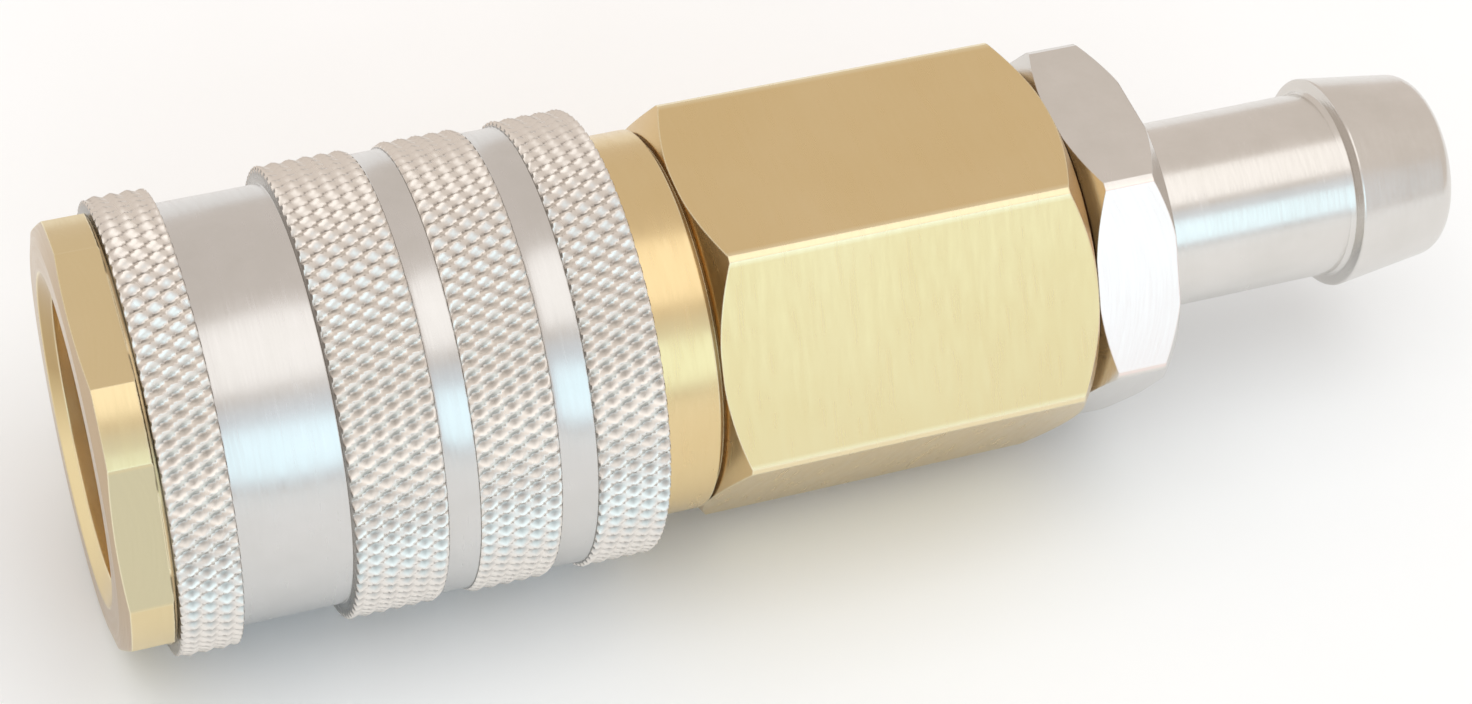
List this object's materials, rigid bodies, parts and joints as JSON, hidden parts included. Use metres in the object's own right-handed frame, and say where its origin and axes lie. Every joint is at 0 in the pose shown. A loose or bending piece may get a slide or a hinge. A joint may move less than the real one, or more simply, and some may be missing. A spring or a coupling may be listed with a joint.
{
  "type": "quick disconnect coupler",
  "caption": "Brass quick disconnect coupler socket with a knurled steel pull-back sleeve, locking balls, sprung check valve, hexagonal body and a hose tail with one barb.",
  "frame": {"origin": "centre of the socket's front face, on the coupler's axis", "axes": "+X along the coupler's axis from the socket mouth towards the hose tail; +Z and -Z are normal to two opposite flats of the rear hexagon; lying on a table the lower flat faces -Z"},
  "size_m": [0.091, 0.0284, 0.0285],
  "materials": {
    "brass_socket": "turned, satin",
    "brass_body": "drawn bar, fine brushing across the flats",
    "plated_tail": "bright plated, turned",
    "plated_sleeve": "bright plated, knurled",
    "washer_steel": "satin",
    "spring_steel": "drawn wire",
    "ball_steel": "polished",
    "seal_rubber": "matte",
    "seal_fibre": "matte fibre",
    "brass_valve": "turned"
  },
  "bodies": {
    "body": {"socket_body": "brass_socket", "hex_body": "brass_body", "hose_tail": "plated_tail", "plug_seal": "seal_rubber", "body_seal": "seal_rubber", "tail_seal": "seal_fibre", "valve_guide": "brass_valve", "sleeve_spring": "spring_steel", "valve_spring": "spring_steel"},
    "sleeve_carriage": {"sleeve_washer": "washer_steel"},
    "sleeve": {"sleeve": "plated_sleeve"},
    "valve": {"valve_poppet": "brass_valve", "valve_seal": "seal_rubber"},
    "ball_1": {"ball_1": "ball_steel"},
    "ball_2": {"ball_2": "ball_steel"},
    "ball_3": {"ball_3": "ball_steel"},
    "ball_4": {"ball_4": "ball_steel"},
    "ball_5": {"ball_5": "ball_steel"},
    "ball_6": {"ball_6": "ball_steel"},
    "ball_7": {"ball_7": "ball_steel"},
    "ball_8": {"ball_8": "ball_steel"}
  },
  "joints": [
    {"name": "sleeve_slide", "type": "slide", "parent": "body", "child": "sleeve_carriage", "axis": [1, 0, 0], "range_m": [0, 0.0035], "stiffness_N_per_m": 1200, "springref_m": -0.008, "deforming": ["sleeve_spring"]},
    {"name": "sleeve_spin", "type": "hinge", "parent": "sleeve_carriage", "child": "sleeve", "pos_m": [0.02, 0, 0], "axis": [1, 0, 0], "continuous": true},
    {"name": "valve_slide", "type": "slide", "parent": "body", "child": "valve", "axis": [1, 0, 0], "range_m": [0, 0.0035], "stiffness_N_per_m": 500, "springref_m": -0.006, "deforming": ["valve_spring"]},
    {"name": "ball_1_lift", "type": "slide", "parent": "body", "child": "ball_1", "axis": [0, 0, 1], "range_m": [0, 0.00096]},
    {"name": "ball_2_lift", "type": "slide", "parent": "body", "child": "ball_2", "axis": [0, -0.7071, 0.7071], "range_m": [0, 0.00096]},
    {"name": "ball_3_lift", "type": "slide", "parent": "body", "child": "ball_3", "axis": [0, -1, 0], "range_m": [0, 0.00096]},
    {"name": "ball_4_lift", "type": "slide", "parent": "body", "child": "ball_4", "axis": [0, -0.7071, -0.7071], "range_m": [0, 0.00096]},
    {"name": "ball_5_lift", "type": "slide", "parent": "body", "child": "ball_5", "axis": [0, 0, -1], "range_m": [0, 0.00096]},
    {"name": "ball_6_lift", "type": "slide", "parent": "body", "child": "ball_6", "axis": [0, 0.7071, -0.7071], "range_m": [0, 0.00096]},
    {"name": "ball_7_lift", "type": "slide", "parent": "body", "child": "ball_7", "axis": [0, 1, 0], "range_m": [0, 0.00096]},
    {"name": "ball_8_lift", "type": "slide", "parent": "body", "child": "ball_8", "axis": [0, 0.7071, 0.7071], "range_m": [0, 0.00096]}
  ],
  "couplings": [
    {"joint": "ball_1_lift", "follows": "sleeve_slide", "ratio": 0.27},
    {"joint": "ball_2_lift", "follows": "sleeve_slide", "ratio": 0.27},
    {"joint": "ball_3_lift", "follows": "sleeve_slide", "ratio": 0.27},
    {"joint": "ball_4_lift", "follows": "sleeve_slide", "ratio": 0.27},
    {"joint": "ball_5_lift", "follows": "sleeve_slide", "ratio": 0.27},
    {"joint": "ball_6_lift", "follows": "sleeve_slide", "ratio": 0.27},
    {"joint": "ball_7_lift", "follows": "sleeve_slide", "ratio": 0.27},
    {"joint": "ball_8_lift", "follows": "sleeve_slide", "ratio": 0.27}
  ]
}
